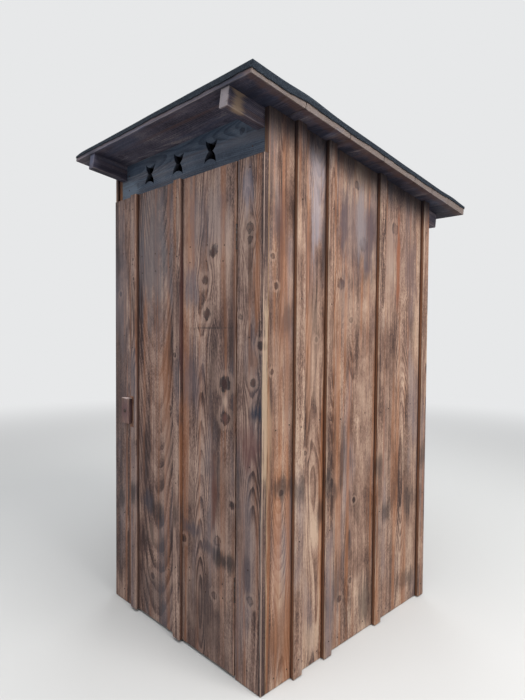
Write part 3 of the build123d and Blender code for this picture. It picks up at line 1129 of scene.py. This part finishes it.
@dataclass
class Roof:
    """The deck, the rafters and the felt that is folded down over the deck's edges.

    The front board tapers towards its left end and the felt drapes over it. The felt's hem on
    the right side is given as pairs of a distance from the front and its height over the
    underside of the deck, and each swell there as its distance, height and spread.
    """

    fold_radius: float = 0.0025
    sheet_thick: float = 0.0018
    grid_step: float = 0.022
    fold_rows: int = 4
    skirt_rows: int = 6
    edge_wave: float = 0.0022
    edge_nibble: float = 0.0012
    ripple: float = 0.0005
    top_wave: float = 0.0008
    left_taper: float = 0.011
    left_droop: float = 0.007
    droop_length: float = 0.08
    taper_length: float = 0.4
    front_hem: float = 0.015
    far_hem: float = 0.017
    right_hem: tuple[Span, ...] = (
        (0.0, 0.013), (0.15, 0.014), (0.25, 0.024), (0.38, 0.020), (0.52, 0.018),
        (0.68, 0.024), (0.87, 0.020), (1.07, 0.022), (1.3, 0.029), (1.5, 0.028),
    )
    right_swells: tuple[tuple[float, float, float], ...] = ((0.27, 0.007, 0.10), (1.32, 0.004, 0.07))
    swell_reach: float = 0.3
    deck_slack: float = 0.0022
    deck_arris: float = 0.002

    def __post_init__(self) -> None:
        """Reads the sheet's and the deck's reach in the roof's own axes."""
        self.west, self.east = reach_of("roof_felt", 0, ROOF_PITCH)
        self.front, self.rear = reach_of("roof_felt", 1, ROOF_PITCH)
        self.crown = reach_of("roof_felt", 2, ROOF_PITCH)[1]
        self.foot = reach_of("roof_deck", 2, ROOF_PITCH)[0]

    def dress(self) -> None:
        """Finishes the rafters."""
        end = reach_of("rafter_right", 1, ROOF_PITCH)[0]
        # Paler patches near the right rafter's front end and across its end face.
        pale_end = smudges(
            (0.022, end + 0.045, 0.04, 0.07, shade(170, 146, 122), 0.75),
            (0.0, end, 0.12, 0.012, shade(158, 148, 150), 0.7),
        )
        # The left rafter's lift of -0.1 makes it darker than the right one: painted shade, for the shade it
        # lies in.
        for name, seed, lift, patches in (
            ("rafter_left", 137.0, -0.1, ()), ("rafter_right", 139.0, 0.0, pale_end),
        ):
            finish_timber(
                name, ROOF_STAIN_AND_SHADE, Lay.FLAT_ALONG, -1, seed=seed, tilt=ROOF_PITCH, pith=(0.01, 0.03),
                edge_share=0.0, lift=lift, smudges=patches,
            )

    def build_deck(self) -> bpy.types.Object:
        """Makes the deck's boards, with eased lower edges and tops that follow the felt.

        Returns:
            The boards as one piece.
        """
        west, east = reach_of("roof_deck", 0, ROOF_PITCH)
        top = reach_of("roof_deck", 2, ROOF_PITCH)[1] - self.deck_slack
        ease = self.deck_arris
        points: list[Vector] = []
        faces: list[tuple[int, ...]] = []
        for low, high in lanes_of("roof_deck", 1, ROOF_PITCH):
            rows = self._steps(low, high)
            loops = []
            for x in self._steps(west, east):
                loop = [(low, self.foot + ease), (low + ease, self.foot)]
                loop += [(high - ease, self.foot), (high, self.foot + ease)]
                loop += [(y, top - self._sink(x, y)) for y in reversed(rows)]
                loops.append(range(len(points), len(points) + len(loop)))
                points += [Vector((x, y, z)) for y, z in loop]
            for first, second in zip(loops, loops[1:]):
                for k in range(len(first)):
                    after = (k + 1) % len(first)
                    faces.append((first[k], first[after], second[after], second[k]))
            faces += [tuple(reversed(loops[0])), tuple(loops[-1])]
        # Painted shade: dark, cool bands on the soffit beside the side walls, where they meet it.
        painted_wall_shade, end_grain = shade(30, 36, 54), shade(142, 130, 120)
        material = timber_finish(
            "roof_deck", ROOF_STAIN_AND_SHADE, Lay.FLAT_ACROSS, -1, seed=131.0, tilt=ROOF_PITCH,
            pith=(0.02, 0.06), taper=0.02,
            knots=knots((0.03, 0.41, 0.016), (-0.03, -0.36, 0.012), (0.05, -0.20, 0.010)),
            smudges=smudges(
                (0.0, 0.47, 9.0, 0.20, painted_wall_shade, 0.75), (0.0, -0.47, 9.0, 0.20, painted_wall_shade, 0.75),
                (0.0, east - 0.012, 9.0, 0.05, shade(104, 78, 68), 0.5),
                (0.0, east, 9.0, 0.012, end_grain, 0.45), (0.0, west, 9.0, 0.012, end_grain, 0.35),
            ),
        )
        mesh = self._mesh("deck_boards", points, faces, material)
        boards = new_piece("deck_boards", mesh, "cabin")
        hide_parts("roof_deck")
        return boards

    def build_felt(self) -> bpy.types.Object:
        """Makes the felt as one folded sheet with an uneven lower edge.

        Returns:
            The sheet.
        """
        inset = self.fold_radius + self.ripple
        columns = self._steps(self.west + inset, self.east - inset)
        rows = self._steps(self.front + inset, self.rear - inset)
        chance = random.Random(149)
        phases = [chance.uniform(0, math.tau) for _ in range(8)]
        points = [Vector((x, y, self._top(x, y, phases))) for y in rows for x in columns]
        width = len(columns)
        corners = [j * width + i for j in range(len(rows) - 1) for i in range(width - 1)]
        faces = [(corner, corner + 1, corner + width + 1, corner + width) for corner in corners]
        ring = self._ring(width, len(rows))
        previous = [index for index, _ in ring]
        run = [0.0]
        for (a, _), (b, _) in zip(ring, ring[1:]):
            run.append(run[-1] + (points[b] - points[a]).length)
        base = [points[index].copy() for index, _ in ring]
        for out, dip, share in self._skirt():
            current = []
            for place, (_, facing), along in zip(base, ring, run):
                ripple, slow, quick = self._wave(along, phases)
                fall = place.z - self.foot - self._hem(place, facing) - self.fold_radius
                uneven = self.edge_wave * slow + self.edge_nibble * quick
                point = place + Vector((facing[0], facing[1], 0.0)) * (out + self.ripple * ripple * share)
                point.z = place.z - dip - (fall + uneven) * share
                current.append(len(points))
                points.append(point)
            for k in range(len(ring)):
                after = (k + 1) % len(ring)
                faces.append((previous[k], current[k], current[after], previous[after]))
            previous = current
        material = FeltFinish(fold_radius=self.fold_radius).material(self.crown)
        mesh = self._mesh("felt_sheet", points, faces, material)
        mesh.polygons.foreach_set("use_smooth", [True] * len(mesh.polygons))
        sheet = new_piece("felt_sheet", mesh, "cabin")
        thicken = sheet.modifiers.new("thickness", "SOLIDIFY")
        thicken.thickness = self.sheet_thick
        thicken.offset = -1.0
        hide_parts("roof_felt")
        return sheet

    @staticmethod
    def _mesh(name: str, points: list[Vector], faces: list, material: bpy.types.Material) -> bpy.types.Mesh:
        """Makes a mesh in the frame's axes.

        Args:
            name: Its name.
            points: Its points in the roof's own axes.
            faces: Its faces, as numbers of points.
            material: Its material.

        Returns:
            The mesh.
        """
        mesh = bpy.data.meshes.new(name)
        mesh.from_pydata([turned(point, -ROOF_PITCH) for point in points], [], faces)
        mesh.materials.append(material)
        return mesh

    def _steps(self, low: float, high: float) -> list[float]:
        """Even places from low to high, about a grid step apart."""
        count = round((high - low) / self.grid_step)
        return [low + (high - low) * number / count for number in range(count + 1)]

    def _sink(self, x: float, y: float) -> float:
        """How far the front board's top lies under the roof plane as it tapers to the left.

        Args:
            x: The place along the front, in the roof's own axes.
            y: The place down the slope.

        Returns:
            The depth.
        """
        share = (self.east - x) / (self.east - self.west)
        tip = max(0.0, 1.0 - (x - self.west) / self.droop_length)
        fade = max(0.0, 1.0 - (y - self.front) / self.taper_length)
        return (self.left_taper * share + self.left_droop * tip * tip) * fade * fade * (3.0 - 2.0 * fade)

    def _top(self, x: float, y: float, phases: list[float]) -> float:
        """Height of the sheet's face in the roof's own axes.

        Args:
            x: The place along the front, in the roof's own axes.
            y: The place down the slope.
            phases: Where each wave starts.

        Returns:
            The height.
        """
        waves = math.sin(x * 9.0 + phases[0]) * math.sin(y * 7.0 + phases[1])
        waves += 0.6 * math.sin(x * 23.0 + phases[2]) * math.sin(y * 19.0 + phases[3])
        lift = self.top_wave * (waves / 1.6 - 1.0) - self._sink(x, y)
        near = max(0.0, 1.0 - (self.east - x) / self.swell_reach)
        for place, height, spread in self.right_swells:
            lift += height * near * near * math.exp(-(((y - self.front - place) / spread) ** 2))
        return self.crown + lift

    def _hem(self, place: Vector, facing: tuple[int, int]) -> float:
        """Height of the sheet's lower edge over the underside of the deck.

        Args:
            place: The place on the roof's edge, in the roof's own axes.
            facing: The way out there.

        Returns:
            The height.
        """
        if facing[1] < 0:
            return self.front_hem
        if facing[0] < 1:
            return self.far_hem
        away = place.y - self.front
        for (start, low), (end, high) in zip(self.right_hem, self.right_hem[1:]):
            if away <= end:
                return low + (high - low) * (away - start) / (end - start)
        return self.right_hem[-1][1]

    @staticmethod
    def _wave(along: float, phases: list[float]) -> list[float]:
        """A ripple, a slow and a quick wave at a place round the sheet's edge.

        Args:
            along: The way round the edge to the place.
            phases: Where each wave starts.

        Returns:
            The three, each from -1 to 1.
        """
        pairs = ((31.0, 4, 83.0, 5), (13.0, 6, 37.0, 7), (117.0, 4, 211.0, 7))
        return [
            math.sin(along * long + phases[a]) * 0.6 + math.sin(along * short + phases[b]) * 0.4
            for long, a, short, b in pairs
        ]

    def _skirt(self) -> list[tuple[float, float, float]]:
        """Sets out the rows of points down the folded edge.

        Returns:
            For each row, how far out and down it is, and its share of the fall to the hem.
        """
        radius = self.fold_radius
        angles = [math.radians(90.0 / self.fold_rows * step) for step in range(1, self.fold_rows + 1)]
        rows = [(radius * math.sin(angle), radius * (1 - math.cos(angle)), 0.0) for angle in angles]
        return rows + [(radius, radius, step / self.skirt_rows) for step in range(1, self.skirt_rows + 1)]

    @staticmethod
    def _ring(width: int, height: int) -> list[tuple[int, tuple[int, int]]]:
        """The grid's outer points in order, each with the way out.

        Args:
            width: Points in a row.
            height: Number of rows.

        Returns:
            Pairs of a point's number and its outward direction.
        """
        last = height - 1
        ring = [(i, (0 if 0 < i < width - 1 else (-1 if i == 0 else 1), -1)) for i in range(width)]
        ring += [(j * width + width - 1, (1, 1 if j == last else 0)) for j in range(1, height)]
        ring += [(last * width + i, (-1 if i == 0 else 0, 1)) for i in range(width - 2, -1, -1)]
        ring += [(j * width, (-1, 0)) for j in range(last - 1, 0, -1)]
        return ring


@dataclass
class NailHeads:
    """Nail heads set along the timbers, made by one Geometry Nodes tree."""

    radius: float = 0.0034
    dome: float = 0.0011
    unevenness: float = 0.12
    sides: int = 10
    rings: int = 6

    def tree(self, material: bpy.types.Material) -> bpy.types.NodeTree:
        """Builds the tree that sets a head on every point.

        Args:
            material: The heads' material.

        Returns:
            The tree.
        """
        tree = bpy.data.node_groups.new("nail_heads", "GeometryNodeTree")
        ports = tree.interface
        ports.new_socket("Points", in_out="INPUT", socket_type="NodeSocketGeometry")
        for name, value in (("Radius", self.radius), ("Dome", self.dome), ("Unevenness", self.unevenness)):
            ports.new_socket(name, in_out="INPUT", socket_type="NodeSocketFloat").default_value = value
        ports.new_socket("Seed", in_out="INPUT", socket_type="NodeSocketInt").default_value = 5
        ports.new_socket("Heads", in_out="OUTPUT", socket_type="NodeSocketGeometry")
        g = Graph(tree)
        points = g.node("NodeGroupInput", {}, {}, "Points")
        radius = points.other("Radius")
        sphere = {"Segments": self.sides, "Rings": self.rings, "Radius": radius}
        squash = g.vector(1.0, 1.0, points.other("Dome") / radius)
        head = g.node("GeometryNodeTransform", {}, {
            "Geometry": g.node("GeometryNodeMeshUVSphere", {}, sphere, "Mesh"), "Scale": squash,
        })
        whole = {"data_type": "FLOAT_VECTOR"}
        facing = g.node("GeometryNodeInputNamedAttribute", whole, {"Name": "facing"}, "Attribute")
        lean = g.node("FunctionNodeRandomValue", whole, {"Seed": points.other("Seed")}, "Value")
        toward = facing + lean * points.other("Unevenness")
        turn = g.node("FunctionNodeAlignRotationToVector", {"axis": "Z"}, {"Vector": toward}, "Rotation")
        heads = g.node(
            "GeometryNodeInstanceOnPoints", {}, {"Points": points, "Instance": head, "Rotation": turn},
        )
        real = g.node("GeometryNodeRealizeInstances", {}, {"Geometry": heads})
        painted = g.node("GeometryNodeSetMaterial", {}, {"Geometry": real, "Material": material})
        tree.links.new(painted.socket, tree.nodes.new("NodeGroupOutput").inputs["Heads"])
        return tree

    def build(self, name: str, body: str, tree: bpy.types.NodeTree, places: list, seed: int) -> None:
        """Sets one body's heads and makes them one mesh.

        Args:
            name: The piece's name.
            body: The body that it moves with.
            tree: The tree that sets the heads.
            places: Pairs of a point and the way it faces.
            seed: The seed of their unevenness.
        """
        seeds = bpy.data.meshes.new(name + "_places")
        seeds.from_pydata([point for point, _ in places], [], [])
        facing = seeds.attributes.new("facing", "FLOAT_VECTOR", "POINT")
        facing.data.foreach_set("vector", [part for _, way in places for part in way])
        holder = bpy.data.objects.new(name + "_places", seeds)
        bpy.context.scene.collection.objects.link(holder)
        modifier = holder.modifiers.new("heads", "NODES")
        modifier.node_group = tree
        inputs = {item.name: item.identifier for item in tree.interface.items_tree if item.in_out == "INPUT"}
        modifier[inputs["Radius"]] = self.radius
        modifier[inputs["Dome"]] = self.dome
        modifier[inputs["Seed"]] = seed
        whole = holder.evaluated_get(bpy.context.evaluated_depsgraph_get())
        mesh = bpy.data.meshes.new_from_object(whole)
        mesh.name = name
        bpy.data.objects.remove(holder)
        new_piece(name, mesh, body)


@dataclass
class NailPlan:
    """Where the nails go. Rows are heights in metres, and shares are places across a timber."""

    height_slip: float = 0.008
    side_slip: float = 0.004
    pair_gap: float = 0.03
    upper_rows: tuple[float, ...] = (1.38, 1.74)
    rear_rows: tuple[float, ...] = (1.79,)
    front_rows: tuple[float, ...] = (0.06, 0.42, 0.80, 1.25, 1.62, 1.83)
    door_rows: tuple[float, ...] = (0.65, 1.20, 1.80)
    middle: tuple[float, ...] = (0.5,)
    pair: tuple[float, ...] = (0.25, 0.75)
    triple: tuple[float, ...] = (0.2, 0.5, 0.8)
    chance: random.Random = field(default_factory=lambda: random.Random(151))
    places: dict[str, list] = field(default_factory=lambda: {"cabin": [], "door": []})

    def drive(
        self, body: str, name: str, axis: int, outward: int, rows: tuple[float, ...],
        shares: tuple[float, ...],
    ) -> None:
        """Adds a grid of nails to the timbers of a node.

        Args:
            body: The body that they move with.
            name: The node.
            axis: The axis that its face looks along.
            outward: 1 or -1, the side that its face looks to.
            rows: The nails' heights.
            shares: Their places across each timber, as shares of its width.
        """
        low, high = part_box(name)
        other = 1 - axis
        way = Vector((0.0, 0.0, 0.0))
        way[axis] = outward
        for start, end in lanes_of(name, other):
            for height in rows:
                for share in shares:
                    slip = self.chance.uniform(-self.height_slip, self.height_slip)
                    point = Vector((0.0, 0.0, height + slip))
                    point[axis] = high[axis] if outward > 0 else low[axis]
                    slip = self.chance.uniform(-self.side_slip, self.side_slip)
                    point[other] = start + (end - start) * share + slip
                    self.places[body].append((point, way.copy()))

    def lines(self) -> dict[str, list]:
        """Works out all of them.

        Returns:
            For each body, pairs of a point and the way it faces.
        """
        rail = sum(reach_of("mid_rails", 2)) / 2
        floor = reach_of("sill_right", 2)[1] * 0.6
        batten_rows = (floor + self.pair_gap, 0.5, rail, *self.upper_rows)
        for side, axis, outward, rows in (
            ("right", 0, 1, (floor, rail)), ("left", 0, -1, (floor, rail)),
            ("rear", 1, 1, (floor, rail, *self.rear_rows)),
        ):
            self.drive("cabin", f"{side}_battens", axis, outward, batten_rows, self.middle)
            for number in range(1, 5):
                self.drive("cabin", f"{side}_board_{number}", axis, outward, rows, self.pair)
        for name in ("front_board_left", "front_board_right"):
            self.drive("cabin", name, 1, -1, self.front_rows, self.middle)
        ledges = sorted({round(sum(span) / 2, 3) for span in lanes_of("door_ledges", 2)})
        for ledge in ledges:
            for name in ("door_board_left", "door_board_right"):
                rows = (ledge - self.pair_gap, ledge + self.pair_gap)
                self.drive("door", name, 1, -1, rows, self.triple)
        for name in ("door_batten_edge", "door_batten_middle"):
            self.drive("door", name, 1, -1, (0.08, *ledges, *self.door_rows), self.middle)
        name = "upper_front_panel"
        low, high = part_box(name)
        for x in (low.x + 0.06, high.x - 0.06):
            for z in (low.z + 0.04, high.z - 0.05):
                self.places["cabin"].append((Vector((x, low.y, z)), Vector((0.0, -1.0, 0.0))))
        return self.places


@dataclass
class Studio:
    """The floor, the lamps, the surroundings and the camera.

    Each lamp is its name, place, side, watts and tint.
    """

    camera_place: Vector = field(default_factory=lambda: Vector((1.7769, -1.7863, 1.26545)))
    yaw: float = math.radians(45.745)
    pitch: float = math.radians(1.909)
    roll: float = math.radians(0.422)
    focal_pixels: float = 527.43
    image_height: float = 700.0
    floor_reach: float = 30.0
    floor_colour: Colour = shade(202, 201, 199)
    bounce_colour: Colour = shade(165, 163, 160)
    sky_colour: Colour = shade(231, 232, 233)
    soft_light: Colour = (0.90, 0.95, 1.0)
    soft_strength: float = 0.12
    middle: Place = (0.0, 0.0, 1.0)
    lamps: tuple[tuple[str, Place, float, float, Colour], ...] = (
        ("sky", (1.4, -0.6, 6.4), 7.0, 560.0, (0.94, 0.97, 1.0)),
        ("key", (5.2, 0.2, 5.6), 3.2, 240.0, (1.0, 0.98, 0.95)),
        ("side", (6.6, 0.4, 3.0), 3.4, 60.0, (1.0, 0.98, 0.96)),
        ("fill", (-0.8, -5.8, 3.4), 3.4, 88.0, (0.95, 0.97, 1.0)),
        ("back", (-3.6, 3.6, 3.4), 3.0, 90.0, (0.95, 0.97, 1.0)),
    )

    def build(self) -> None:
        """Builds all of it."""
        self._floor()
        self._surroundings()
        for lamp in self.lamps:
            self._lamp(*lamp)
        self._camera()
        bpy.context.scene.view_settings.view_transform = "Standard"

    def _floor(self) -> None:
        """Lays the plain floor."""
        mesh = bpy.data.meshes.new("studio_floor")
        reach = self.floor_reach
        corners = [(-reach, -reach, 0.0), (reach, -reach, 0.0), (reach, reach, 0.0), (-reach, reach, 0.0)]
        mesh.from_pydata(corners, [], [(0, 1, 2, 3)])
        material, g = new_material("studio_floor")
        seen = g.node("ShaderNodeLightPath", {}, {}, "Is Camera Ray")
        colour = g.mix(seen, self.bounce_colour, self.floor_colour)
        ground = g.node("ShaderNodeBsdfDiffuse", {}, {"Color": colour})
        shown = g.node("ShaderNodeEmission", {}, {"Color": self.sky_colour, "Strength": 1.0})
        far = g.position().squared_length().root().rise(2.5, 8.0) * seen
        g.end(g.node("ShaderNodeMixShader", {}, {0: far, 1: ground, 2: shown}))
        mesh.materials.append(material)
        floor = bpy.data.objects.new("studio_floor", mesh)
        bpy.context.scene.collection.objects.link(floor)

    def _surroundings(self) -> None:
        """Lights the world softly and shows it pale."""
        world = bpy.data.worlds.new("studio")
        bpy.context.scene.world = world
        world.use_nodes = True
        g = Graph(world.node_tree)
        soft = g.node("ShaderNodeBackground", {}, {"Color": self.soft_light, "Strength": self.soft_strength})
        shown = g.node("ShaderNodeBackground", {}, {"Color": self.sky_colour, "Strength": 1.0})
        camera_ray = g.node("ShaderNodeLightPath", {}, {}, "Is Camera Ray")
        seen = camera_ray.most(camera_ray.other("Is Glossy Ray"))
        g.end(g.node("ShaderNodeMixShader", {}, {0: seen, 1: soft, 2: shown}), "ShaderNodeOutputWorld")

    def _lamp(self, name: str, place: Place, size: float, watts: float, tint: Colour) -> None:
        """Hangs a soft square lamp that faces the cabin's middle.

        Args:
            name: Its name.
            place: Where it hangs.
            size: Its side.
            watts: Its power.
            tint: Its colour.
        """
        data = bpy.data.lights.new(name, "AREA")
        data.size = size
        data.energy = watts
        data.color = tint
        lamp = bpy.data.objects.new(name, data)
        lamp.location = place
        toward = Vector(self.middle) - lamp.location
        lamp.rotation_euler = toward.to_track_quat("-Z", "Y").to_euler()
        bpy.context.scene.collection.objects.link(lamp)

    def _camera(self) -> None:
        """Sets the camera where the photograph was taken from."""
        level = math.cos(self.pitch)
        ahead = Vector((-math.sin(self.yaw) * level, math.cos(self.yaw) * level, -math.sin(self.pitch)))
        flat = ahead.cross(Vector((0.0, 0.0, 1.0))).normalized()
        upright = flat.cross(ahead)
        right = flat * math.cos(self.roll) + upright * math.sin(self.roll)
        up = upright * math.cos(self.roll) - flat * math.sin(self.roll)
        data = bpy.data.cameras.new("camera")
        data.sensor_width = 36.0
        data.lens = self.focal_pixels / self.image_height * data.sensor_width
        data.clip_start = 0.05
        camera = bpy.data.objects.new("camera", data)
        turn = Matrix((right, up, -ahead)).transposed()
        camera.matrix_world = Matrix.Translation(self.camera_place) @ turn.to_4x4()
        bpy.context.scene.collection.objects.link(camera)
        bpy.context.scene.camera = camera


def main() -> None:
    """Builds and dresses the sub-assemblies in order, then the studio."""
    FrontWall().dress()
    Door().dress()
    TurnButton().dress()
    SideWalls().dress()
    RearWall().dress()
    BaseFrame().dress()
    roof = Roof()
    roof.dress()
    roof.build_deck()
    roof.build_felt()
    heads = NailHeads()
    tree = heads.tree(SteelFinish("nail_steel", rusted=0.9).material())
    for seed, (body, places) in enumerate(NailPlan().lines().items(), start=7):
        heads.build(f"{body}_nail_heads", body, tree, places, seed)
    Studio().build()


if __name__ == "__main__":
    main()
